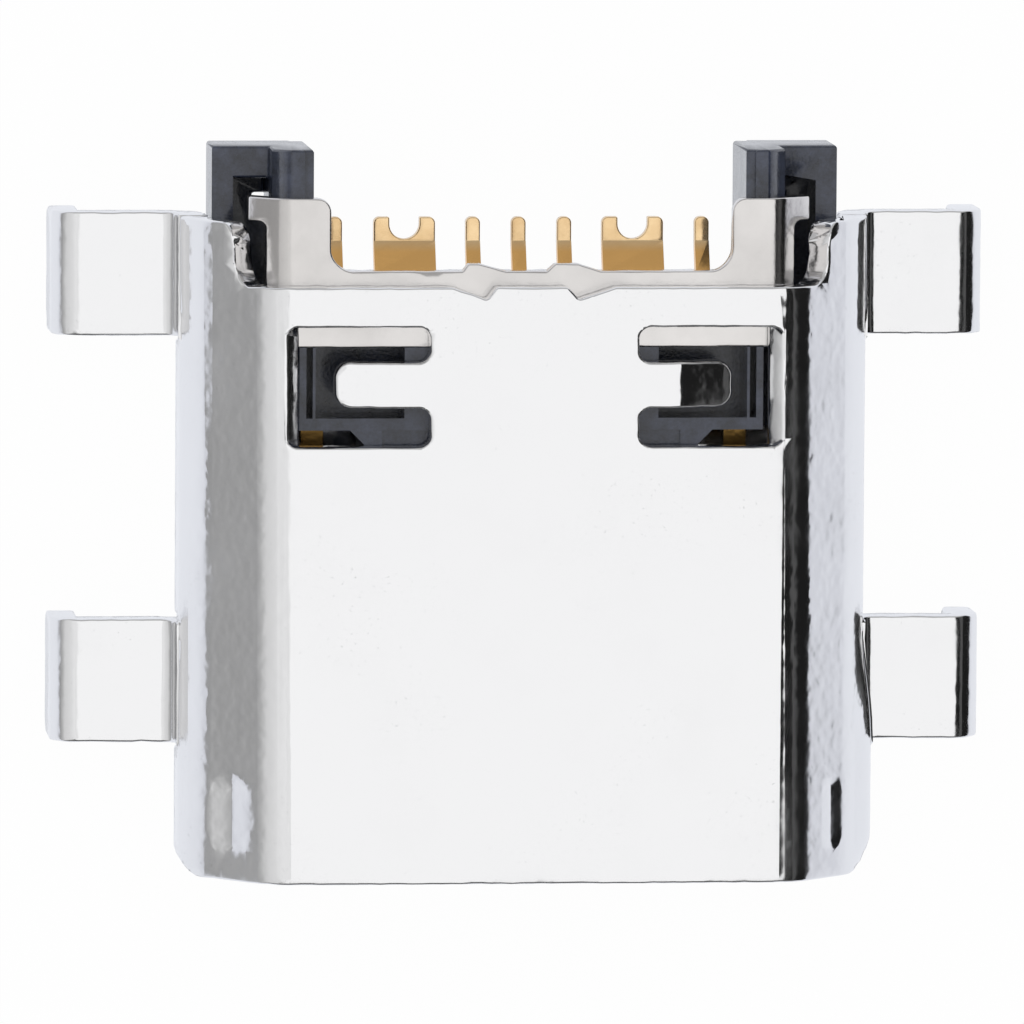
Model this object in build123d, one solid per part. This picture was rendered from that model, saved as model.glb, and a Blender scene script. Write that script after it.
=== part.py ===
from build123d import *
import os
from math import atan2, degrees, radians, sqrt, tan

os.makedirs("parts", exist_ok=True)

# All sizes are in mm. X runs across the socket, +Y runs from the mouth to the rear, +Z points up.
# The narrow side of the opening faces up. Z = 0 is the level of the four leg tips.
# A place along the socket is written as its distance behind the mouth. The windows, the rear plate and
# the housing keep their distance from the roof's rear edge.

# Overall
board_top = 0.80
sheet = 0.30

# Opening for the plug, a flat rectangle with two bevelled shoulders on its narrow side
opening_floor = 0.65
opening_width = 6.90
opening_height = 1.85
opening_narrow_width = 5.40
shoulder_drop = 0.75
floor_corner_radius = 0.35
shoulder_radius = 0.75
crown_radius = 0.30

# Shell
shell_roof_length = 6.48
side_overhang = 0.68
roof_bay_half_width = 3.23
roof_bay_corner = 0.30
floor_bay_half_width = 3.10
floor_bay_corner = 0.15
side_end_corner = 0.28
seam_gap = 0.03
seam_key_start = 2.30
seam_key_length = 1.30
seam_key_reach = 0.55
seam_key_flare = 0.15

# Notches in the roof's rear edge: left end, lowest point and right end along X, and the depth
left_nick = (-0.89, -0.53, -0.42)
right_nick = (0.35, 0.48, 0.87)
nick_depth = 0.13
nick_radius = 0.05

# Four ears with legs
ear_width = 1.35
front_ear_place = 2.05
rear_ear_setback = 0.02
ear_reach = 1.35
ear_root_radius = 0.17
ear_outer_radius = 0.33
leg_tip_corner = 0.20
ear_relief = 0.06

# Windows in the roof, each with a tab bent down into the housing
window_inner_x = 1.13
window_outer_x = 2.70
window_setback = 1.73
window_length = 1.30
window_corner = 0.13
window_slant = 0.15
tab_reach = 1.03
tab_width = 0.49
tab_setback = 0.67
tab_tip_corner = 0.17
tab_root_radius = 0.13
tab_stub = 0.20
tab_flat = 0.40
left_tab_slope = 6
right_tab_slope = 20

# Grooves pressed into the shoulders beside the mouth by one V-shaped punch, deeper on the left
groove_crease = 0.62
groove_crease_width = 0.01
groove_side_slope = 7.5
groove_end_slope = 13
left_groove_depth = 0.038
right_groove_depth = 0.021
groove_place = 0.70

# Rear plate, a second sheet under the roof
plate_sheet = 0.20
plate_fit = 0.02
plate_overlap = 0.67
plate_length = 0.82
plate_half_width = 3.05
plate_neck_step = 0.18
plate_neck_corner = 0.08
prong_inner_x = 2.18
prong_length = 0.79
prong_corner = 0.15
prong_root_radius = 0.25
left_stub = (-0.75, -0.69, -0.58, -0.28)
right_stub = (0.16, 0.25, 0.50, 0.74)
stub_height = 0.08
stub_radius = 0.03

# Housing
housing_fit = 0.02
housing_setback = 0.03
housing_length = 1.54
post_length = 1.48
post_inner_x = 2.35
post_recess_inner_x = 2.79
post_recess_outer_x = 3.18
post_clearance = 0.04
post_bar = 0.35
post_low_top = 1.60
post_prong_gap = 0.03
post_step_width = 0.10
post_step_depth = 0.05
recess_floor_height = 0.10
recess_slot_width = 0.13
recess_slot_hidden = 0.05
pocket_floor = 1.75
pocket_inner_x = 1.38
pocket_outer_x = 2.345
pocket_front_rib = 0.13
pocket_side_rib = 0.03
pocket_slot_width = 0.07
shoulder_gap_x = 2.52
shoulder_gap_floor = 2.00

# Contact tongue of the housing and its thick root
tongue_half_width = 1.75
tongue_front = 0.95
tongue_floor = 1.00
tongue_height = 0.60
tongue_nose_chamfer = 0.12
root_half_width = 1.78
root_length = 0.29
root_flare = 0.19
root_step_half_width = 1.62
root_step_depth = 0.04

# Terminals
terminal_sheet = 0.15
contact_pitch = 0.65
contact_width = 0.40
contact_setback = 0.15
contact_proud = 0.02
side_contact_x = 2.31
side_contact_width = 0.24
side_contact_reach = 0.46
riser_depth = 0.45
bridge_length = 0.18
tail_slope_length = 0.38
tail_flat_length = 0.27
tail_exit_middle = 1.05
tail_bend_radius = 0.12
data_tail_x = 0.50
power_tail_x = 1.25
side_tail_x = 2.01
narrow_tail_width = 0.155
wide_tail_width = 0.67
tail_corner = 0.065
tail_notch_radius = 0.165
tail_notch_depth = 0.24

# Places along the socket and sizes that follow from the ones above
shell_side_length = shell_roof_length + side_overhang
rear_ear_place = shell_roof_length + rear_ear_setback
window_start = shell_roof_length - window_setback
tab_place = window_start + tab_setback
plate_start = shell_roof_length - plate_overlap
housing_rear = shell_roof_length - housing_setback
housing_front = housing_rear - housing_length
contact_front = tongue_front + contact_setback
side_contact_front = housing_front - side_contact_reach
riser_place = housing_rear - riser_depth
tail_bend = housing_rear + tail_slope_length
tail_end = tail_bend + tail_flat_length
overall_length = housing_rear + post_length
opening_roof = opening_floor + opening_height
shell_floor = opening_floor - sheet
shell_roof = opening_roof + sheet
shell_half_width = opening_width / 2 + sheet
shoulder_run = (opening_width - opening_narrow_width) / 2
shoulder_lean = degrees(atan2(shoulder_run, shoulder_drop))
crown_turn = tan(radians((90 - shoulder_lean) / 2))
crown_bend_x = opening_narrow_width / 2 - crown_radius * crown_turn
crown_bend_z = opening_roof - crown_radius
leg_outer_half_width = shell_half_width + ear_reach
ear_middle = board_top + sheet / 2
ear_root_top = ear_middle + ear_root_radius + sheet / 2
tongue_top = tongue_floor + tongue_height
contact_middle = tongue_top + contact_proud - terminal_sheet / 2
tail_middle = board_top + terminal_sheet / 2
plate_roof = opening_roof - plate_fit
plate_rear = plate_start + plate_length
prong_rear = plate_rear + prong_length
post_step_top = plate_roof - plate_sheet - post_prong_gap - post_step_depth
post_outer_x = opening_width / 2 - post_clearance
through = 1.0


def station(distance):
    # Y of a place that lies this far behind the mouth.
    return distance - overall_length / 2


def block(x_low, x_high, near, far, z_low, z_high):
    # Box between two X values, two distances behind the mouth and two heights.
    size = (x_high - x_low, far - near, z_high - z_low)
    return Pos(x_low, station(near), z_low) * Box(*size, align=(Align.MIN, Align.MIN, Align.MIN))


def along(face, near, far):
    # Section drawn in X and Z, carried from one distance behind the mouth to another.
    return extrude(Pos(0, station(near), 0) * (Plane.XZ * face), amount=far - near, dir=(0, 1, 0))


def upright(face, z_low, z_high):
    # Plan outline drawn in X and distance behind the mouth, raised between two heights.
    return extrude(Pos(0, station(0), z_low) * face, amount=z_high - z_low, dir=(0, 0, 1))


def across(face, x_low, x_high):
    # Side profile drawn in distance behind the mouth and Z, carried between two X values.
    return extrude(Pos(x_low, station(0), 0) * (Plane.YZ * face), amount=x_high - x_low, dir=(1, 0, 0))


def rounded_face(points, radii):
    # Closed outline with its own radius at each corner.
    return make_face(FilletPolyline(*points, radius=radii, close=True))


def opening_face(grow):
    # Section of the opening, grown outwards by an even amount.
    half_wide = opening_width / 2 + grow
    half_narrow = opening_narrow_width / 2 + grow * crown_turn
    low = opening_floor - grow
    high = opening_roof + grow
    shoulder = opening_roof - shoulder_drop + grow * tan(radians(shoulder_lean / 2))
    points = [
        (-half_wide, low),
        (half_wide, low),
        (half_wide, shoulder),
        (half_narrow, high),
        (-half_narrow, high),
        (-half_wide, shoulder),
    ]
    floor_radius = floor_corner_radius + grow
    side_radius = shoulder_radius + grow
    top_radius = crown_radius + grow
    radii = [floor_radius, floor_radius, side_radius, top_radius, top_radius, side_radius]
    return rounded_face(points, radii)


def mirrored(shape):
    # The same shape on the other side of the middle plane.
    return mirror(shape, about=Plane.YZ)


def roof_bay_cut():
    # Cut on the +X side that shortens the roof and runs square through the sheet of the shoulder.
    far = shell_half_width + through
    beyond = shell_side_length + through
    points = [
        (-through, shell_roof_length),
        (roof_bay_half_width, shell_roof_length),
        (roof_bay_half_width, shell_side_length),
        (far, shell_side_length),
        (far, beyond),
        (-through, beyond),
    ]
    face = rounded_face(points, [0, roof_bay_corner, side_end_corner, 0, 0, 0])
    slope = shoulder_drop / shoulder_run
    crown_x = opening_narrow_width / 2 + sheet * crown_turn
    level = shell_roof - (roof_bay_half_width - crown_x) * slope
    reach = 2 * sheet * sqrt(1 + slope**2) / slope
    place = Pos(0, station(0), level)
    return extrude(place * face, amount=reach, dir=(shoulder_drop, 0, shoulder_run), both=True)


def floor_bay_cut():
    # Cut that shortens the floor.
    half = floor_bay_half_width
    beyond = shell_side_length + through
    points = [(-half, beyond), (-half, shell_roof_length), (half, shell_roof_length), (half, beyond)]
    face = rounded_face(points, [0, floor_bay_corner, floor_bay_corner, 0])
    return upright(face, shell_floor - through, opening_floor + sheet)


def nick_cut(nick):
    # Skewed notch in the roof's rear edge.
    left, lowest, right = nick
    beyond = shell_roof_length + through
    points = [
        (left, beyond),
        (left, shell_roof_length),
        (lowest, shell_roof_length - nick_depth),
        (right, shell_roof_length),
        (right, beyond),
    ]
    face = rounded_face(points, [0, 0, nick_radius, 0, 0])
    return upright(face, opening_roof - sheet, shell_roof + through)


def seam_cut():
    # Closing seam of the folded sheet, with one dovetail key, in the floor.
    key_end = seam_key_start + seam_key_length
    points = [
        (0, -through),
        (0, seam_key_start),
        (seam_key_reach, seam_key_start - seam_key_flare),
        (seam_key_reach, key_end + seam_key_flare),
        (0, key_end),
        (0, shell_side_length),
    ]
    face = trace(Polyline(*points), line_width=seam_gap)
    return upright(face, shell_floor - sheet, opening_floor + sheet / 2)


def ear(place):
    # One ear on the +X side: out from the wall, flat on the board, then down as a leg.
    wall_x = shell_half_width - sheet / 2
    leg_x = leg_outer_half_width - sheet / 2
    points = [(wall_x, ear_root_top + sheet), (wall_x, ear_middle), (leg_x, ear_middle), (leg_x, 0)]
    bends = [ear_root_radius + sheet / 2, ear_outer_radius - sheet / 2]
    profile = trace(FilletPolyline(*points, radius=bends), line_width=sheet)
    strip = along(profile, place - ear_width / 2, place + ear_width / 2)
    tip_edges = strip.edges().filter_by(Axis.X).sort_by(Axis.Z)[:2]
    return fillet(tip_edges, leg_tip_corner)


def ear_blank_cut(place):
    # Opening that the ear leaves in the wall and the floor that it was folded from.
    half = ear_width / 2 + ear_relief
    leg_blank = leg_outer_half_width - shell_half_width + board_top
    inner_x = shell_half_width - leg_blank + ear_root_top - shell_floor
    wide = shell_half_width + through
    return block(inner_x, wide, place - half, place + half, shell_floor - through, ear_root_top)


def window_cut():
    # C-shaped window round the root of its tab, on the +X side of the roof. The upper part of its outer
    # wall slants towards the bend.
    window_end = window_start + window_length
    tab_near = tab_place - tab_width / 2
    tab_far = tab_place + tab_width / 2
    stub_x = window_inner_x + tab_stub
    points = [
        (window_inner_x, window_start),
        (window_outer_x, window_start),
        (window_outer_x, window_end),
        (window_inner_x, window_end),
        (window_inner_x, tab_far),
        (stub_x, tab_far),
        (stub_x, tab_near),
        (window_inner_x, tab_near),
    ]
    radii = [window_corner] * 4 + [tab_root_radius, 0, 0, tab_root_radius]
    plan = upright(rounded_face(points, radii), crown_bend_z, shell_roof + through)
    wall_x = window_outer_x - window_slant
    side = [
        (0, crown_bend_z),
        (wall_x, crown_bend_z),
        (wall_x, shell_roof - window_slant),
        (window_outer_x + through, shell_roof + through),
        (0, shell_roof + through),
    ]
    return plan & along(make_face(Polyline(*side, close=True)), window_start, window_end)


def window_tab(slope):
    # Tab that stays in the window, bent down towards its tip.
    tip_x = window_inner_x + tab_reach
    middle = shell_roof - sheet / 2
    bend_x = window_inner_x + tab_flat
    run = tip_x + sheet - bend_x
    drop = run * tan(radians(slope))
    points = [(window_inner_x - sheet, middle), (bend_x, middle), (tip_x + sheet, middle - drop)]
    profile = trace(FilletPolyline(*points, radius=sheet), line_width=sheet)
    near = tab_place - tab_width / 2
    far = tab_place + tab_width / 2
    strip = along(profile, near, far)
    root_x = window_inner_x - sheet / 2
    plan = [(root_x, near), (tip_x, near), (tip_x, far), (root_x, far)]
    corners = [0, tab_tip_corner, tab_tip_corner, 0]
    limit = upright(rounded_face(plan, corners), opening_floor, shell_roof + through)
    return strip & limit


def groove_tool(depth, inset):
    # V-shaped punch with rounded ends on the +X shoulder, sunk to a depth and moved in by an inset.
    crown_x = opening_narrow_width / 2 + sheet * crown_turn
    side_z = opening_roof - shoulder_drop + sheet * tan(radians(shoulder_lean / 2))
    middle_x = (crown_x + shell_half_width) / 2
    middle_z = (shell_roof + side_z) / 2
    outwards = Vector(shell_roof - side_z, 0, shell_half_width - crown_x).normalized()
    rim_centre = Vector(middle_x, station(groove_place), middle_z) - outwards * inset
    rim_plane = Plane(origin=rim_centre, x_dir=(0, 1, 0), z_dir=outwards)
    crease_plane = Plane(origin=rim_centre - outwards * depth, x_dir=(0, 1, 0), z_dir=outwards)
    rim_length = groove_crease + 2 * depth / tan(radians(groove_end_slope))
    rim_width = groove_crease_width + 2 * depth / tan(radians(groove_side_slope))
    rim = rim_plane * SlotOverall(rim_length, rim_width)
    crease = crease_plane * SlotOverall(groove_crease, groove_crease_width)
    return loft([rim.face(), crease.face()], ruled=True)


def make_shell():
    tube = along(opening_face(sheet) - opening_face(0), 0, shell_side_length)
    roof_bay = roof_bay_cut()
    tube -= roof_bay
    tube -= mirrored(roof_bay)
    tube -= floor_bay_cut()
    tube -= nick_cut(left_nick)
    tube -= nick_cut(right_nick)
    for place in (front_ear_place, rear_ear_place):
        tube -= ear_blank_cut(place)
        tube -= mirrored(ear_blank_cut(place))
        tube += ear(place)
        tube += mirrored(ear(place))
    window = window_cut()
    left_tab = mirrored(window_tab(left_tab_slope))
    right_tab = window_tab(right_tab_slope)
    left_groove = mirrored(groove_tool(left_groove_depth, 0))
    left_bulge = mirrored(groove_tool(left_groove_depth, sheet))
    right_groove = groove_tool(right_groove_depth, 0)
    right_bulge = groove_tool(right_groove_depth, sheet)
    for piece_window, piece_tab in ((window, right_tab), (mirrored(window), left_tab)):
        tube -= piece_window
        tube += piece_tab
    for piece_groove, piece_bulge in ((left_groove, left_bulge), (right_groove, right_bulge)):
        tube += piece_bulge
        tube -= piece_groove
    tube -= seam_cut()
    return tube


def plate_plan():
    # Plan of the rear plate: a cross strip with two small stubs and two prongs to the rear, which are
    # wider behind the sides of the shell.
    half = plate_half_width
    neck = half - plate_neck_step
    rear_left = [(-neck, plate_start), (-neck, shell_side_length), (-half, shell_side_length)]
    rear_left += [(-half, prong_rear), (-prong_inner_x, prong_rear)]
    rear_right = [(prong_inner_x, prong_rear), (half, prong_rear)]
    rear_right += [(half, shell_side_length), (neck, shell_side_length), (neck, plate_start)]
    edge = []
    for stub in (left_stub, right_stub):
        edge += [(stub[0], plate_rear), (stub[1], plate_rear + stub_height)]
        edge += [(stub[2], plate_rear + stub_height), (stub[3], plate_rear)]
    points = rear_left + [(-prong_inner_x, plate_rear)] + edge + [(prong_inner_x, plate_rear)] + rear_right
    left_radii = [0, plate_neck_corner, 0, 0, prong_corner, prong_root_radius]
    return rounded_face(points, left_radii + [stub_radius] * len(edge) + left_radii[::-1])


def make_rear_plate():
    ring = opening_face(-plate_fit) - opening_face(-plate_fit - plate_sheet)
    layer = along(ring, plate_start, prong_rear)
    return layer & upright(plate_plan(), opening_roof - shoulder_drop, shell_roof)


def plate_seat():
    # Space over the housing that the rear plate fills.
    ring = opening_face(0) - opening_face(-plate_fit - plate_sheet)
    layer = along(ring, plate_start, prong_rear)
    half = plate_half_width + plate_fit
    return layer & block(-half, half, plate_start, prong_rear, opening_roof - shoulder_drop, shell_roof)


def window_pocket():
    # Space in the housing under the +X window: the tab's well, a narrow slot, and a gap at the shoulder.
    front = housing_front + pocket_front_rib
    rear = plate_start
    well = block(pocket_inner_x, pocket_outer_x, front, rear, pocket_floor, shell_roof)
    slot_low = pocket_outer_x + pocket_side_rib
    slot = block(slot_low, slot_low + pocket_slot_width, front, rear, pocket_floor, shell_roof)
    gap_front = housing_front - through
    gap = block(shoulder_gap_x, shell_half_width, gap_front, rear, shoulder_gap_floor, shell_roof)
    return well + slot + gap


def rear_post():
    # Post on the +X side: a tall inner block, and a low hook round a recess that is open to the front.
    tall_face = opening_face(-plate_fit - plate_sheet - post_prong_gap)
    tall = along(tall_face, housing_rear - housing_fit, overall_length)
    limb_start = housing_rear - sheet
    tall &= block(post_inner_x, post_recess_inner_x, limb_start, overall_length, board_top, shell_roof)
    step_outer_x = post_inner_x + post_step_width
    tall -= block(post_inner_x - sheet, step_outer_x, 0, overall_length + sheet, post_step_top, shell_roof)
    low_start = overall_length - post_bar
    recess_end = low_start + sheet / 2
    hidden_x = post_recess_inner_x - sheet
    bar = block(hidden_x, post_outer_x, low_start, overall_length, board_top, post_low_top)
    limb = block(post_recess_outer_x, post_outer_x, limb_start, overall_length, board_top, post_low_top)
    floor_top = board_top + recess_floor_height
    floor_x = post_recess_inner_x + recess_slot_width
    floor = block(floor_x, post_outer_x, limb_start, recess_end, board_top, floor_top)
    slot_start = shell_side_length
    slot_end = prong_rear - recess_slot_hidden
    sill = block(hidden_x, floor_x, limb_start, slot_start, board_top, floor_top)
    ledge = block(hidden_x, floor_x, slot_end, recess_end, board_top, floor_top)
    return tall + bar + limb + floor + sill + ledge


def contact_tongue():
    half = tongue_half_width
    tongue = block(-half, half, tongue_front, housing_front + sheet, tongue_floor, tongue_top)
    nose = tongue.faces().sort_by(Axis.Y)[0]
    return chamfer(nose.edges().filter_by(Axis.X), tongue_nose_chamfer)


def tongue_root():
    # Thick root that joins tongue and body, bevelled at both sides, with a shallow step on top.
    front = housing_front - root_length
    inside = housing_front + pocket_front_rib / 2
    flare_x = root_half_width + root_flare
    flare_start = housing_front - root_flare
    plan = [
        (-root_half_width, front),
        (root_half_width, front),
        (root_half_width, flare_start),
        (flare_x, housing_front),
        (flare_x, inside),
        (-flare_x, inside),
        (-flare_x, housing_front),
        (-root_half_width, flare_start),
    ]
    body_top = opening_roof - housing_fit
    root = upright(make_face(Polyline(*plan, close=True)), tongue_floor, body_top)
    step = root_step_half_width
    return root - block(-step, step, front - sheet, housing_front, body_top - root_step_depth, shell_roof)


def strip_profile(points, radii):
    # Side profile of a terminal, one strip thick.
    return trace(FilletPolyline(*points, radius=radii), line_width=terminal_sheet)


def make_terminal(contact_x, width, contact_points, tail_x, tail_width):
    # Contact, bridge inside the housing and solder tail, made as one bent strip.
    contact = strip_profile(contact_points, [0] * (len(contact_points) - 2))
    front = across(contact, contact_x - width / 2, contact_x + width / 2)
    half_strip = terminal_sheet / 2
    low_x = min(contact_x - width / 2, tail_x - tail_width / 2)
    high_x = max(contact_x + width / 2, tail_x + tail_width / 2)
    bridge_end = riser_place + bridge_length
    bridge_low = tail_exit_middle - half_strip
    bridge_high = tail_exit_middle + half_strip
    bridge = block(low_x, high_x, riser_place - half_strip, bridge_end, bridge_low, bridge_high)
    tail_points = [
        (riser_place, tail_exit_middle),
        (housing_rear, tail_exit_middle),
        (tail_bend, tail_middle),
        (tail_end, tail_middle),
    ]
    tail_profile = strip_profile(tail_points, [tail_bend_radius, tail_bend_radius])
    tail = across(tail_profile, tail_x - tail_width / 2, tail_x + tail_width / 2)
    tail = fillet(tail.edges().filter_by(Axis.Z).sort_by(Axis.Y)[-2:], tail_corner)
    if tail_width > 3 * tail_notch_radius:
        centre = tail_end - tail_notch_depth + tail_notch_radius
        hole = Pos(tail_x, station(centre), tail_middle) * Cylinder(tail_notch_radius, sheet)
        mouth_low = tail_x - tail_notch_radius
        mouth_high = tail_x + tail_notch_radius
        mouth = block(mouth_low, mouth_high, centre, tail_end + sheet, 0, tail_middle + sheet)
        tail -= hole
        tail -= mouth
    return front + bridge + tail


def make_tongue_terminal(contact_x, tail_x, tail_width):
    bend = (riser_place, contact_middle)
    points = [(contact_front, contact_middle), bend, (riser_place, tail_exit_middle)]
    return make_terminal(contact_x, contact_width, points, tail_x, tail_width)


def make_side_terminal(side):
    bend = (riser_place, contact_middle)
    points = [(side_contact_front, contact_middle), bend, (riser_place, tail_exit_middle)]
    contact_x = side * side_contact_x
    tail_x = side * side_tail_x
    return make_terminal(contact_x, side_contact_width, points, tail_x, narrow_tail_width)


def make_housing(terminals):
    body = along(opening_face(-housing_fit), housing_front, housing_rear)
    pocket = window_pocket()
    post = rear_post()
    body -= pocket
    body -= mirrored(pocket)
    body -= plate_seat()
    body += post
    body += mirrored(post)
    body += contact_tongue()
    body += tongue_root()
    for terminal in terminals:
        body -= terminal
    return body


terminals = {
    "outer_terminal_left": make_side_terminal(-1),
    "supply_terminal": make_tongue_terminal(-2 * contact_pitch, -power_tail_x, wide_tail_width),
    "data_minus_terminal": make_tongue_terminal(-contact_pitch, -data_tail_x, narrow_tail_width),
    "data_plus_terminal": make_tongue_terminal(0, 0, narrow_tail_width),
    "identity_terminal": make_tongue_terminal(contact_pitch, data_tail_x, narrow_tail_width),
    "ground_terminal": make_tongue_terminal(2 * contact_pitch, power_tail_x, wide_tail_width),
    "outer_terminal_right": make_side_terminal(1),
}

export_step(make_shell(), "parts/shell.step")
export_step(make_rear_plate(), "parts/rear_plate.step")
export_step(make_housing(terminals.values()), "parts/housing.step")
for name, terminal in terminals.items():
    export_step(terminal, "parts/" + name + ".step")
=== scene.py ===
import math

import bmesh
import bpy
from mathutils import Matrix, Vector, noise


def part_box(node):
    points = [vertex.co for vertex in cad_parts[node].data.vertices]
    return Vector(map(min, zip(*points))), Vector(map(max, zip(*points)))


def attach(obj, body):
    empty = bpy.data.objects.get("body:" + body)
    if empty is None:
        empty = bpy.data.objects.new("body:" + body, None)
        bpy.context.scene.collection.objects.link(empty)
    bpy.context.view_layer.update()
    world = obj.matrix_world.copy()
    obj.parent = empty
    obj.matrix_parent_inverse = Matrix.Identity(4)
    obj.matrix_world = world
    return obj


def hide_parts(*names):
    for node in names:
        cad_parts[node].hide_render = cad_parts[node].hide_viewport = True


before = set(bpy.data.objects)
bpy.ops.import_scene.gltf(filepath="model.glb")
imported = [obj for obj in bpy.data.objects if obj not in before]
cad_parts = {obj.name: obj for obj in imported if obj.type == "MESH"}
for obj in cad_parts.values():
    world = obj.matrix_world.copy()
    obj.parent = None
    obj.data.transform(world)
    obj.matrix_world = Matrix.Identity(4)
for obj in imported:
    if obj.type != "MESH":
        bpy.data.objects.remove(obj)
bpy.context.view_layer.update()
print("frame loaded:", len(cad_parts), "pieces")

mm = 0.001
white = (1.0, 1.0, 1.0, 1.0)

# Places of the sockets of a colour Mix node
mixFactor = 0
mixFirst = 6
mixSecond = 7
mixColour = 2


def colour(red, green, blue):
    # Display colour from 0 to 255 per channel, as the linear colour that a shader takes
    linear = []
    for level in (red, green, blue):
        share = level / 255
        linear.append(share / 12.92 if share <= 0.04045 else ((share + 0.055) / 1.055) ** 2.4)
    return (*linear, 1.0)


def addNode(tree, kind, spot, inputs=None, **settings):
    node = tree.nodes.new(kind)
    node.location = spot
    for name, value in settings.items():
        setattr(node, name, value)
    for name, value in (inputs or {}).items():
        node.inputs[name].default_value = value
    return node


def wire(tree, source, output, target, socket):
    tree.links.new(source.outputs[output], target.inputs[socket])


def addRamp(tree, spot, stops):
    # Grey ramp through (position, level) stops
    ramp = addNode(tree, "ShaderNodeValToRGB", spot)
    elements = ramp.color_ramp.elements
    while len(elements) < len(stops):
        elements.new(0.5)
    for element, (position, level) in zip(elements, stops):
        element.position = position
        element.color = (level, level, level, 1.0)
    return ramp


def addMaths(tree, spot, operation, first, second, clamp=False):
    # A Math node whose two inputs are numbers or (node, output name) pairs
    node = addNode(tree, "ShaderNodeMath", spot, operation=operation, use_clamp=clamp)
    for index, value in enumerate((first, second)):
        if isinstance(value, tuple):
            wire(tree, *value, node, index)
        else:
            node.inputs[index].default_value = value
    return node


def addMix(tree, spot, factor, first, second):
    # A colour Mix node; each input is a value or a (node, output name) pair
    node = addNode(tree, "ShaderNodeMix", spot, data_type="RGBA")
    for index, value in ((mixFactor, factor), (mixFirst, first), (mixSecond, second)):
        if isinstance(value, tuple) and len(value) == 2:
            wire(tree, *value, node, index)
        else:
            node.inputs[index].default_value = value
    return node


def addRange(tree, spot, source, start, end, first=0.0, last=1.0):
    # Stretch a value that runs from start to end, so that it runs from first to last
    limits = {"From Min": start, "From Max": end, "To Min": first, "To Max": last}
    node = addNode(tree, "ShaderNodeMapRange", spot, limits)
    wire(tree, *source, node, "Value")
    return node


def addNoise(tree, spot, start, size, detail, roughness):
    # Noise on a group's coordinates, as coarse as the group's input of that name says
    scale = addMaths(tree, (spot[0] - 200, spot[1]), "DIVIDE", 1.0, (start, size))
    pattern = addNode(tree, "ShaderNodeTexNoise", spot, {"Detail": detail, "Roughness": roughness})
    wire(tree, start, "Coordinates", pattern, "Vector")
    wire(tree, scale, 0, pattern, "Scale")
    return pattern


def millimetreCoordinates(tree, spot):
    # Object coordinates, scaled so that one unit of a pattern is one millimetre
    source = addNode(tree, "ShaderNodeTexCoord", spot)
    scale = (1 / mm, 1 / mm, 1 / mm)
    mapping = addNode(tree, "ShaderNodeMapping", (spot[0] + 180, spot[1]), {"Scale": scale})
    wire(tree, source, "Object", mapping, "Vector")
    return mapping


def newGroup(name, inputs, outputs):
    tree = bpy.data.node_groups.new(name, "ShaderNodeTree")
    tree.interface.new_socket("Coordinates", in_out="INPUT", socket_type="NodeSocketVector")
    for label, value in inputs.items():
        socket = tree.interface.new_socket(label, in_out="INPUT", socket_type="NodeSocketFloat")
        socket.default_value = value
    for label in outputs:
        tree.interface.new_socket(label, in_out="OUTPUT", socket_type="NodeSocketFloat")
    start = addNode(tree, "NodeGroupInput", (-900, 0))
    end = addNode(tree, "NodeGroupOutput", (900, 0))
    return tree, start, end


def newMaterial(name):
    material = bpy.data.materials.new(name)
    material.use_nodes = True
    tree = material.node_tree
    tree.nodes.clear()
    output = addNode(tree, "ShaderNodeOutputMaterial", (900, 0))
    return material, tree, output


platingGrain = {
    "waveDetail": 0.6,
    "waveRoughness": 0.5,
    "pitDetail": 3.0,
    "pitRoughness": 0.65,
    "pitBetween": (0.62, 0.72),
    "patchScale": 0.9,
    "patchDetail": 2.0,
    "patchBetween": (0.45, 0.7),
    "stainDetail": 5.0,
    "stainRoughness": 0.6,
}


def makePlatingSkin(grain):
    # Fine waves of plated sheet, small pits in patches and soft stains
    sizes = {"Wave Size": 0.08, "Wave Depth": 0.001, "Pit Size": 0.05, "Pit Share": 0.2}
    sizes["Stain Size"] = 1.2
    tree, start, end = newGroup("platingSkin", sizes, ("Height", "Pits", "Stains"))
    waves = addNoise(tree, (-500, 300), start, "Wave Size", grain["waveDetail"], grain["waveRoughness"])
    waveHeight = addMaths(tree, (-250, 300), "MULTIPLY", (waves, "Fac"), (start, "Wave Depth"))

    pitNoise = addNoise(tree, (-500, 0), start, "Pit Size", grain["pitDetail"], grain["pitRoughness"])
    pitLevel = addRange(tree, (-250, 0), (pitNoise, "Fac"), *grain["pitBetween"])
    patchSize = {"Scale": grain["patchScale"], "Detail": grain["patchDetail"]}
    patchNoise = addNode(tree, "ShaderNodeTexNoise", (-500, -250), patchSize)
    wire(tree, start, "Coordinates", patchNoise, "Vector")
    patchLevel = addRange(tree, (-250, -250), (patchNoise, "Fac"), *grain["patchBetween"])
    pitPatch = addMaths(tree, (0, 0), "MULTIPLY", (pitLevel, "Result"), (patchLevel, "Result"))
    pits = addMaths(tree, (200, 0), "MULTIPLY", (pitPatch, 0), (start, "Pit Share"))

    detail, roughness = grain["stainDetail"], grain["stainRoughness"]
    stains = addNoise(tree, (-500, -500), start, "Stain Size", detail, roughness)

    wire(tree, waveHeight, 0, end, "Height")
    wire(tree, pits, 0, end, "Pits")
    wire(tree, stains, "Fac", end, "Stains")
    return tree


mouldGrain = {
    "mottleDetail": 6.0,
    "mottleRoughness": 0.7,
    "grainDetail": 3.0,
    "grainRoughness": 0.6,
}


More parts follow.
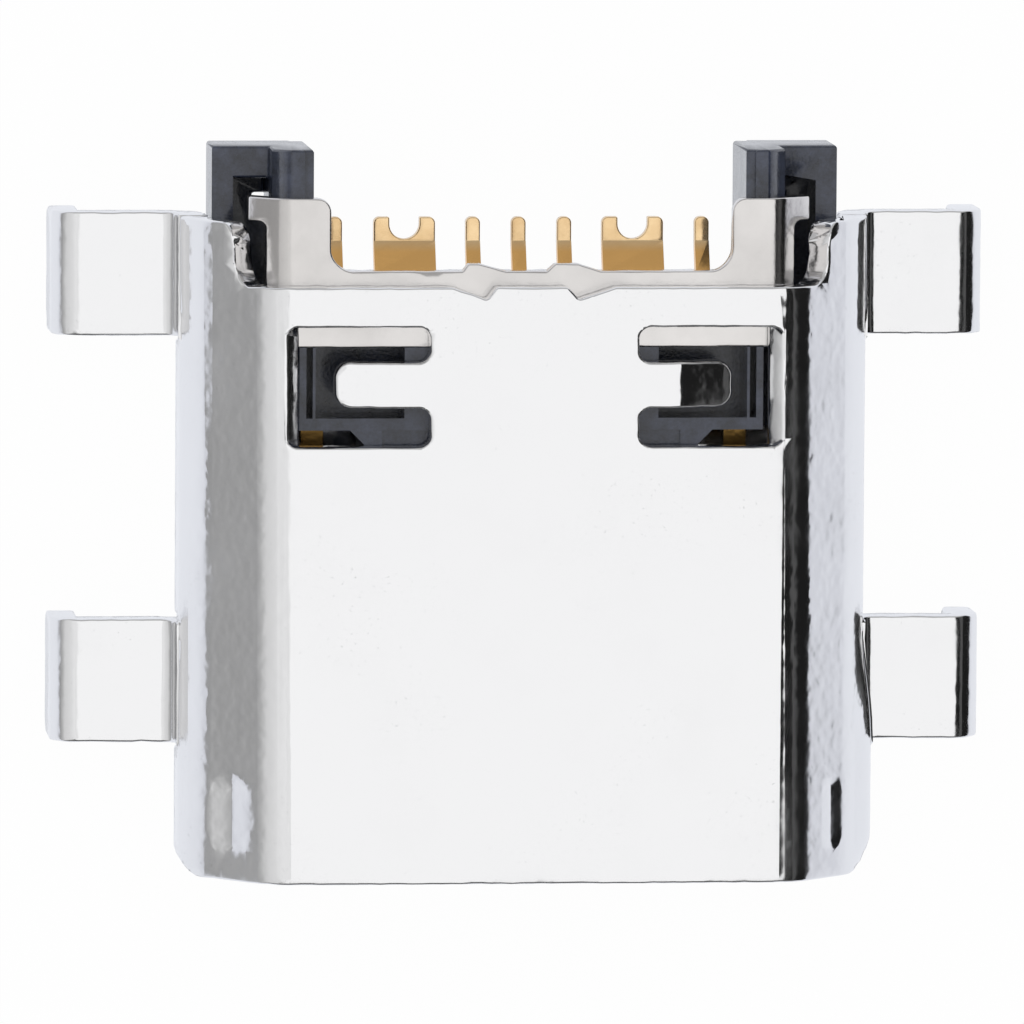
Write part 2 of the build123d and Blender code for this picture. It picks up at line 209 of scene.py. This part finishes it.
def makeMouldSkin(look):
    # Mottled tone and fine grain of moulded plastic
    sizes = {"Mottle Size": 0.3, "Grain Size": 0.03, "Grain Depth": 0.002}
    tree, start, end = newGroup("mouldSkin", sizes, ("Mottle", "Height"))
    detail, roughness = look["mottleDetail"], look["mottleRoughness"]
    mottle = addNoise(tree, (-450, 200), start, "Mottle Size", detail, roughness)
    detail, roughness = look["grainDetail"], look["grainRoughness"]
    grain = addNoise(tree, (-450, -150), start, "Grain Size", detail, roughness)
    height = addMaths(tree, (-150, -150), "MULTIPLY", (grain, "Fac"), (start, "Grain Depth"))
    wire(tree, mottle, "Fac", end, "Mottle")
    wire(tree, height, 0, end, "Height")
    return tree


platingSkin = makePlatingSkin(platingGrain)
mouldSkin = makeMouldSkin(mouldGrain)
print("shared surface effects ready")


def startFinish(name, group, look, wearOutput):
    # Material with one shared surface effect, which gives its bump and its uneven roughness
    material, tree, output = newMaterial(name)
    shader = addNode(tree, "ShaderNodeBsdfPrincipled", (600, 0))
    wire(tree, shader, "BSDF", output, "Surface")
    coordinates = millimetreCoordinates(tree, (-1100, 0))
    skin = addNode(tree, "ShaderNodeGroup", (-600, 0), look["skin"], node_tree=group)
    wire(tree, coordinates, "Vector", skin, "Coordinates")
    start, end = look["wearBetween"]
    levels = (look["roughness"], look["roughnessWorn"])
    rough = addRange(tree, (-150, -50), (skin, wearOutput), start, end, *levels)
    bump = addNode(tree, "ShaderNodeBump", (200, -250), {"Strength": 1.0, "Distance": mm})
    wire(tree, skin, "Height", bump, "Height")
    wire(tree, rough, "Result", shader, "Roughness")
    wire(tree, bump, "Normal", shader, "Normal")
    return material, tree, shader, coordinates, skin


nickelLook = {
    "bright": colour(242, 242, 243),
    "tarnish": colour(196, 197, 198),
    "roughness": 0.07,
    "roughnessWorn": 0.24,
    "wearBetween": (0.35, 0.75),
    "skin": {"Wave Size": 0.12, "Wave Depth": 0.0042, "Pit Share": 0.5},
}


def makeNickel(look):
    material, tree, shader, _, skin = startFinish("nickelPlate", platingSkin, look, "Stains")
    base = addMix(tree, (-150, 200), (skin, "Pits"), look["bright"], look["tarnish"])
    wire(tree, base, mixColour, shader, "Base Color")
    shader.inputs["Metallic"].default_value = 1.0
    return material


satinLook = {
    "light": colour(229, 226, 224),
    "dark": colour(213, 210, 208),
    "toneBetween": (0.3, 0.7),
    "roughness": 0.13,
    "roughnessWorn": 0.24,
    "wearBetween": (0.3, 0.7),
    "skin": {"Wave Size": 0.05, "Wave Depth": 0.0012, "Pit Share": 0.4},
}


def makeSatin(look):
    material, tree, shader, _, skin = startFinish("satinPlate", platingSkin, look, "Stains")
    tone = addRange(tree, (-350, 200), (skin, "Stains"), *look["toneBetween"])
    base = addMix(tree, (-150, 200), (tone, "Result"), look["light"], look["dark"])
    wire(tree, base, mixColour, shader, "Base Color")
    shader.inputs["Metallic"].default_value = 1.0
    return material


plasticLook = {
    "light": colour(64, 70, 88),
    "dark": colour(20, 24, 34),
    "toneBetween": (0.3, 0.72),
    "roughness": 0.26,
    "roughnessWorn": 0.18,
    "wearBetween": (0.3, 0.7),
    "coat": 0.5,
    "coatRoughness": 0.10,
    "skin": {"Mottle Size": 0.22, "Grain Size": 0.035, "Grain Depth": 0.004},
}


def makePlastic(look):
    material, tree, shader, _, skin = startFinish("blackPlastic", mouldSkin, look, "Mottle")
    tone = addRange(tree, (-350, 200), (skin, "Mottle"), *look["toneBetween"])
    base = addMix(tree, (-150, 200), (tone, "Result"), look["dark"], look["light"])
    wire(tree, base, mixColour, shader, "Base Color")
    shader.inputs["Coat Weight"].default_value = look["coat"]
    shader.inputs["Coat Roughness"].default_value = look["coatRoughness"]
    return material


goldLook = {
    "light": colour(250, 219, 172),
    "dark": colour(230, 194, 144),
    "toneBetween": (0.35, 0.7),
    # Painted shade: a deeper orange tone that stands in for the darker look of the tail slopes
    "slope": colour(251, 197, 122),
    "slopeStart": 2.76,  # mm along Y
    "slopeEnd": 2.88,
    # Painted shade: a dark brown tone for the contacts inside the mouth, where they stand in shadow
    "contact": colour(150, 118, 66),
    "contactEnd": 2.2,
    "roughness": 0.13,
    "roughnessWorn": 0.26,
    "wearBetween": (0.3, 0.7),
    "skin": {"Wave Size": 0.06, "Wave Depth": 0.0015, "Pit Share": 0.6, "Stain Size": 0.4},
}


def makeGold(look):
    # Pale on the flat tail tips, with a deeper orange painted shade on their slopes and a dark painted
    # shade on the contacts inside
    material, tree, shader, coordinates, skin = startFinish("goldPlate", platingSkin, look, "Stains")
    tone = addRange(tree, (-350, 200), (skin, "Stains"), *look["toneBetween"])
    tailTone = addMix(tree, (-150, 200), (tone, "Result"), look["light"], look["dark"])
    place = addNode(tree, "ShaderNodeSeparateXYZ", (-600, 450))
    wire(tree, coordinates, "Vector", place, "Vector")
    # Mask for the painted shade on the contacts inside the mouth
    contactShadeMask = addMaths(tree, (-350, 450), "LESS_THAN", (place, "Y"), look["contactEnd"])
    # Mask for the painted shade on the tail slopes, by place along Y
    slopeShadeMask = addRange(tree, (-350, 600), (place, "Y"), look["slopeStart"], look["slopeEnd"], 1.0, 0.0)
    slopeTone = addMix(tree, (50, 500), (slopeShadeMask, "Result"), (tailTone, mixColour), look["slope"])
    base = addMix(tree, (250, 300), (contactShadeMask, 0), (slopeTone, mixColour), look["contact"])
    wire(tree, base, mixColour, shader, "Base Color")
    shader.inputs["Metallic"].default_value = 1.0
    return material


nickelPlate = makeNickel(nickelLook)
satinPlate = makeSatin(satinLook)
blackPlastic = makePlastic(plasticLook)
goldPlate = makeGold(goldLook)
print("materials ready")

# Each piece is a dressed copy of its node with rolled edges; the shell and rear plate also get the
# slight waves of stamped metal
shellForm = {
    "mergeGap": 0.0005 * mm,
    "flatAngle": 0.6,
    "sharpAngle": 32,
    "creaseAngle": 60,
    "edgeRoll": 0.024 * mm,
    "rollSegments": 2,
    "rollFrom": -10 * mm,
    "sliceStep": 0.11 * mm,
    "turnAngle": 15,
    "waveSeed": 5,
    "waveSize": 0.16 * mm,
    "waveDepth": 0.0022 * mm,
    "edgeWaveDepth": 0.009 * mm,
    "wallHalfWidth": 3.75 * mm,
    "wallSlack": 0.01 * mm,
    "earSlack": 0.05 * mm,
    "mouthRounding": 0.26 * mm,
    "swell": 0.10 * mm,
    "swellFrom": 3.60 * mm,
    "swellStart": 0.40 * mm,
    "swellFall": 1.45 * mm,
    "swellEnd": 2.60 * mm,
    "skew": 0.045 * mm,
    "skewFrom": 3.40 * mm,
}

plateForm = {
    "mergeGap": 0.0005 * mm,
    "flatAngle": 0.6,
    "sharpAngle": 32,
    "creaseAngle": 60,
    "edgeRoll": 0.018 * mm,
    "rollSegments": 2,
    "rollFrom": -10 * mm,
    "sliceStep": 0.10 * mm,
    "turnAngle": 15,
    "waveSeed": 5,
    "waveSize": 0.20 * mm,
    "waveDepth": 0.0015 * mm,
    "edgeWaveDepth": 0.006 * mm,
}

housingForm = {
    "mergeGap": 0.0005 * mm,
    "flatAngle": 0.6,
    "sharpAngle": 40,
    "creaseAngle": 60,
    "edgeRoll": 0.03 * mm,
    "rollSegments": 2,
    "rollFrom": 2.56 * mm,
}

tailForm = {
    "mergeGap": 0.0005 * mm,
    "flatAngle": 0.6,
    "sharpAngle": 40,
    "creaseAngle": 60,
    "edgeRoll": 0.014 * mm,
    "rollSegments": 2,
    "rollFrom": 2.56 * mm,
}


def turnsMore(edge, angle):
    return edge.is_manifold and edge.calc_face_angle() > math.radians(angle)


def rollEdges(form, look):
    # Round the sharp edges that lie wholly behind the place where rolling starts
    sharp = []
    for edge in form.edges:
        behind = min(vert.co.y for vert in edge.verts) > look["rollFrom"]
        if behind and turnsMore(edge, look["sharpAngle"]):
            sharp.append(edge)
    bmesh.ops.bevel(
        form,
        geom=sharp,
        offset=look["edgeRoll"],
        offset_type="OFFSET",
        affect="EDGES",
        segments=look["rollSegments"],
        profile=0.5,
        material=-1,
        clamp_overlap=False,
    )


def sliceForm(form, low, high, axis, step):
    # Cut the whole form across one axis at even steps, so that every long edge can wave
    normal = Vector((0, 0, 0))
    normal[axis] = 1.0
    place = low[axis] + step
    while place < high[axis] - step / 2:
        point = Vector((0, 0, 0))
        point[axis] = place
        parts = form.verts[:] + form.edges[:] + form.faces[:]
        bmesh.ops.bisect_plane(form, geom=parts, plane_co=point, plane_no=normal, dist=1e-9)
        place += step


def waveForm(form, low, high, look, edgeVerts):
    # Small even noise on every vertex, stronger along the rolled edges, held inside the sheet's box
    noise.seed_set(look["waveSeed"])
    for vert in form.verts:
        depth = look["edgeWaveDepth"] if vert.index in edgeVerts else look["waveDepth"]
        shift = noise.noise_vector(vert.co / look["waveSize"]) * depth
        for axis in range(3):
            vert.co[axis] = min(max(vert.co[axis] + shift[axis], low[axis]), high[axis])


def easeBetween(value, start, end):
    share = min(max((value - start) / (end - start), 0.0), 1.0)
    return share * share * (3 - 2 * share)


def shapeMouth(form, low, high, look):
    # Skew the roof a little, round the mouth's two corners in plan, and swell the +X wall behind it
    wall = look["wallHalfWidth"]
    rounding = look["mouthRounding"]
    inner = wall - rounding
    for vert in form.verts:
        behind = vert.co.y - low.y
        share = 1 - easeBetween(abs(vert.co.x), look["skewFrom"], wall)
        vert.co.x += look["skew"] * share * (1 - behind / (high.y - low.y))
        corner = Vector((abs(vert.co.x) - inner, rounding - behind))
        onWall = abs(vert.co.x) < wall + look["wallSlack"]
        if onWall and min(corner) > 0 and corner.length > rounding:
            corner *= rounding / corner.length
            vert.co.x = math.copysign(inner + corner.x, vert.co.x)
            vert.co.y = low.y + rounding - corner.y
        if vert.co.x <= wall + look["earSlack"]:
            side = easeBetween(vert.co.x, look["swellFrom"], wall)
            rise = easeBetween(behind, 0, look["swellStart"])
            fall = 1 - easeBetween(behind, look["swellFall"], look["swellEnd"])
            vert.co.x += look["swell"] * side * rise * fall


def waveSheet(form, low, high, look):
    sliceForm(form, low, high, 0, look["sliceStep"])
    sliceForm(form, low, high, 1, look["sliceStep"])
    form.verts.ensure_lookup_table()
    form.verts.index_update()
    turned = [edge for edge in form.edges if turnsMore(edge, look["turnAngle"])]
    edgeVerts = {vert.index for edge in turned for vert in edge.verts}
    if "swell" in look:
        shapeMouth(form, low, high, look)
    waveForm(form, low, high, look, edgeVerts)


def dressNode(nodeName, look, finish):
    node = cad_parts[nodeName]
    low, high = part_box(nodeName)
    form = bmesh.new()
    form.from_mesh(node.data)
    bmesh.ops.remove_doubles(form, verts=form.verts, dist=look["mergeGap"])
    flat = math.radians(look["flatAngle"])
    bmesh.ops.dissolve_limit(form, angle_limit=flat, verts=form.verts, edges=form.edges)
    rollEdges(form, look)
    if "sliceStep" in look:
        waveSheet(form, low, high, look)
    for face in form.faces:
        face.smooth = True
    for edge in form.edges:
        edge.smooth = not turnsMore(edge, look["creaseAngle"])
    mesh = bpy.data.meshes.new(nodeName + "Dressed")
    form.to_mesh(mesh)
    form.free()
    piece = bpy.data.objects.new(nodeName + "Dressed", mesh)
    mesh.materials.append(finish)
    bpy.context.scene.collection.objects.link(piece)
    even = piece.modifiers.new("evenShading", "WEIGHTED_NORMAL")
    even.keep_sharp = True
    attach(piece, "root")
    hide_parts(nodeName)
    print(nodeName, "dressed:", len(mesh.polygons), "faces")


def paintNode(nodeName, finish):
    # The plain node below its dressed copy takes the same finish
    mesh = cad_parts[nodeName].data
    mesh.materials.clear()
    mesh.materials.append(finish)


pieces = {
    "shell": (shellForm, nickelPlate, "nickel_shell"),
    "rear_plate": (plateForm, satinPlate, "satin_plate"),
    "housing": (housingForm, blackPlastic, "black_plastic"),
}
for nodeName in sorted(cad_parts):
    if "terminal" in nodeName:
        pieces[nodeName] = (tailForm, goldPlate, "gold_plate")

for nodeName, (form, finish, slotName) in pieces.items():
    dressNode(nodeName, form, finish)
    paintNode(nodeName, finish)
print("pieces ready:", len(pieces))

# The cards beside and above the socket only show in its reflections
studio = {
    "floorHalfSize": 0.5,
    "floorDiffuse": (0.9, 0.9, 0.9, 1.0),
    "floorNear": (0.85, 0.87, 0.92, 1.0),
    "floorFar": (0.70, 0.715, 0.77, 1.0),
    "floorNearEnd": 7.0,  # mm from the middle
    "floorFarStart": 24.0,
    "floorGlow": 0.97,
    "skyLevel": 0.82,
    "cardDistance": 0.060,
    "cardHalfDepth": 0.110,
    "cardFoot": 0.0002,
    "endHalfWidth": 0.060,
    "darkFlagTop": 0.098,
    "darkFlagStops": [
        (0.0, 0.012),
        (0.30, 0.012),
        (0.37, 0.085),
        (0.52, 0.085),
        (0.58, 0.012),
        (1.0, 0.014),
    ],
    "greyFlagTop": 0.150,
    "greyFlagStops": [(0.0, 0.30), (0.05, 0.36), (0.12, 0.47), (0.20, 0.68), (0.6, 0.8), (1.0, 0.88)],
    "rearFlagTop": 0.086,
    "rearFlagStops": [(0.0, 0.46), (1.0, 0.46)],
    "frontFlagTop": 0.090,
    "frontFlagStops": [(0.0, 0.12), (1.0, 0.12)],
    "paleCardHeight": 0.150,
    "paleCardEdge": -0.032,
    "paleCardStops": [(0.0, 0.80), (0.6, 0.84), (0.8, 0.90), (1.0, 1.0)],
    "keyPower": 0.06,
    "keySize": 0.12,
    "keyPlace": (-0.12, 0.05, 0.20),
}


def addSheet(name, corners, material):
    # Flat stage sheet through four corners
    mesh = bpy.data.meshes.new(name)
    form = bmesh.new()
    form.faces.new([form.verts.new(corner) for corner in corners])
    form.to_mesh(mesh)
    form.free()
    sheet = bpy.data.objects.new(name, mesh)
    mesh.materials.append(material)
    bpy.context.scene.collection.objects.link(sheet)
    return sheet


def addPlainlySeen(tree, spot):
    # One for rays from the camera, in reflections and through clear material, and zero for diffuse light
    path = addNode(tree, "ShaderNodeLightPath", spot)
    x, y = spot
    camera, glossy = (path, "Is Camera Ray"), (path, "Is Glossy Ray")
    seen = addMaths(tree, (x + 200, y), "ADD", camera, glossy, clamp=True)
    seenToo = addMaths(tree, (x + 400, y), "ADD", (seen, 0), (path, "Is Transmission Ray"), clamp=True)
    return path, seenToo


def makeFloorMaterial(settings):
    # Shaded by the object for diffuse light, plain white for the camera and toned in reflections
    material, tree, output = newMaterial("floorWhite")
    shade = addNode(tree, "ShaderNodeBsdfDiffuse", (0, 200), {"Color": settings["floorDiffuse"]})
    glow = addNode(tree, "ShaderNodeEmission", (0, 0))
    coordinates = millimetreCoordinates(tree, (-1000, 0))
    distance = addNode(tree, "ShaderNodeVectorMath", (-600, 0), operation="LENGTH")
    wire(tree, coordinates, "Vector", distance, 0)
    near, far = settings["floorNearEnd"], settings["floorFarStart"]
    spread = addRange(tree, (-400, 0), (distance, "Value"), near, far)
    tone = addMix(tree, (-200, 0), (spread, "Result"), settings["floorNear"], settings["floorFar"])
    path, seen = addPlainlySeen(tree, (-600, 500))
    toneShown = addMix(tree, (-50, -200), (path, "Is Glossy Ray"), white, (tone, mixColour))
    wire(tree, toneShown, mixColour, glow, "Color")
    glowShare = addMaths(tree, (50, 500), "MULTIPLY", (seen, 0), settings["floorGlow"])
    blend = addNode(tree, "ShaderNodeMixShader", (300, 200))
    wire(tree, glowShare, 0, blend, "Fac")
    wire(tree, shade, "BSDF", blend, 1)
    wire(tree, glow, "Emission", blend, 2)
    below = addNode(tree, "ShaderNodeNewGeometry", (300, 500))
    clear = addNode(tree, "ShaderNodeBsdfTransparent", (300, -100))
    surface = addNode(tree, "ShaderNodeMixShader", (600, 200))
    wire(tree, below, "Backfacing", surface, "Fac")
    wire(tree, blend, "Shader", surface, 1)
    wire(tree, clear, "BSDF", surface, 2)
    wire(tree, surface, "Shader", output, "Surface")
    return material


def makeGlowMaterial(name, stops, axis, start, end):
    # Card that glows with a tone that changes along one axis
    material, tree, output = newMaterial(name)
    glow = addNode(tree, "ShaderNodeEmission", (300, 0))
    coordinates = millimetreCoordinates(tree, (-900, 0))
    split = addNode(tree, "ShaderNodeSeparateXYZ", (-500, 0))
    wire(tree, coordinates, "Vector", split, "Vector")
    level = addRange(tree, (-300, 0), (split, axis), start / mm, end / mm)
    ramp = addRamp(tree, (-100, 0), stops)
    wire(tree, level, "Result", ramp, "Fac")
    wire(tree, ramp, "Color", glow, "Color")
    wire(tree, glow, "Emission", output, "Surface")
    return material


def addCard(name, corners, stops, axis, start, end):
    card = addSheet(name, corners, makeGlowMaterial(name + "Tone", stops, axis, start, end))
    card.visible_camera = False
    card.visible_diffuse = False
    card.visible_shadow = False
    card.visible_transmission = False


def addSideCard(name, place, top, stops, settings):
    foot = settings["cardFoot"]
    deep = settings["cardHalfDepth"]
    corners = [(place, -deep, foot), (place, deep, foot), (place, deep, top), (place, -deep, top)]
    addCard(name, corners, stops, "Z", 0, top)


def addEndCard(name, place, top, stops, settings):
    foot = settings["cardFoot"]
    wide = settings["endHalfWidth"]
    corners = [(-wide, place, foot), (wide, place, foot), (wide, place, top), (-wide, place, top)]
    addCard(name, corners, stops, "Z", 0, top)


def addPaleCard(settings):
    # Pale card overhead, on the left
    wide = settings["cardDistance"]
    edge = settings["paleCardEdge"]
    height = settings["paleCardHeight"]
    corners = [(-wide, -wide), (edge, -wide), (edge, wide), (-wide, wide)]
    corners = [(*corner, height) for corner in corners]
    addCard("paleCard", corners, settings["paleCardStops"], "X", -wide, edge)


def makeWorld(settings):
    world = bpy.data.worlds.new("studioWorld")
    world.use_nodes = True
    bpy.context.scene.world = world
    tree = world.node_tree
    tree.nodes.clear()
    output = addNode(tree, "ShaderNodeOutputWorld", (600, 0))
    background = addNode(tree, "ShaderNodeBackground", (350, 0), {"Color": white})
    _, seen = addPlainlySeen(tree, (-400, 0))
    level = addRange(tree, (150, 0), (seen, 0), 0.0, 1.0, settings["skyLevel"], 1.0)
    wire(tree, level, "Result", background, "Strength")
    wire(tree, background, "Background", output, "Surface")


def addKeyLight(settings):
    light = bpy.data.lights.new("keyLight", "AREA")
    light.energy = settings["keyPower"]
    light.size = settings["keySize"]
    lamp = bpy.data.objects.new("keyLight", light)
    lamp.location = settings["keyPlace"]
    lamp.rotation_euler = (Vector((0, 0, 0)) - lamp.location).to_track_quat("-Z", "Y").to_euler()
    lamp.visible_glossy = False
    bpy.context.scene.collection.objects.link(lamp)


half = studio["floorHalfSize"]
floorCorners = [(-half, -half, 0), (half, -half, 0), (half, half, 0), (-half, half, 0)]
addSheet("floor", floorCorners, makeFloorMaterial(studio))
away = studio["cardDistance"]
addSideCard("darkFlag", away, studio["darkFlagTop"], studio["darkFlagStops"], studio)
addSideCard("greyFlag", -away, studio["greyFlagTop"], studio["greyFlagStops"], studio)
addEndCard("rearFlag", away, studio["rearFlagTop"], studio["rearFlagStops"], studio)
addEndCard("frontFlag", -away, studio["frontFlagTop"], studio["frontFlagStops"], studio)
addPaleCard(studio)
makeWorld(studio)
addKeyLight(studio)
print("studio ready")

cameraView = {
    "sensorWidth": 36.0,
    "lens": 507.75,
    "clipStart": 0.01,
    "clipEnd": 10.0,
    "place": (-0.01553328, 0.01548687, 0.1572521),
    "turn": (-0.09952, -0.09809, 0.00631),
}


def addCamera(view):
    data = bpy.data.cameras.new("camera")
    data.sensor_width = view["sensorWidth"]
    data.lens = view["lens"]
    data.clip_start = view["clipStart"]
    data.clip_end = view["clipEnd"]
    camera = bpy.data.objects.new("camera", data)
    camera.location = view["place"]
    camera.rotation_euler = view["turn"]
    bpy.context.scene.collection.objects.link(camera)
    bpy.context.scene.camera = camera


addCamera(cameraView)
bpy.context.scene.view_settings.view_transform = "Standard"

print("camera ready")
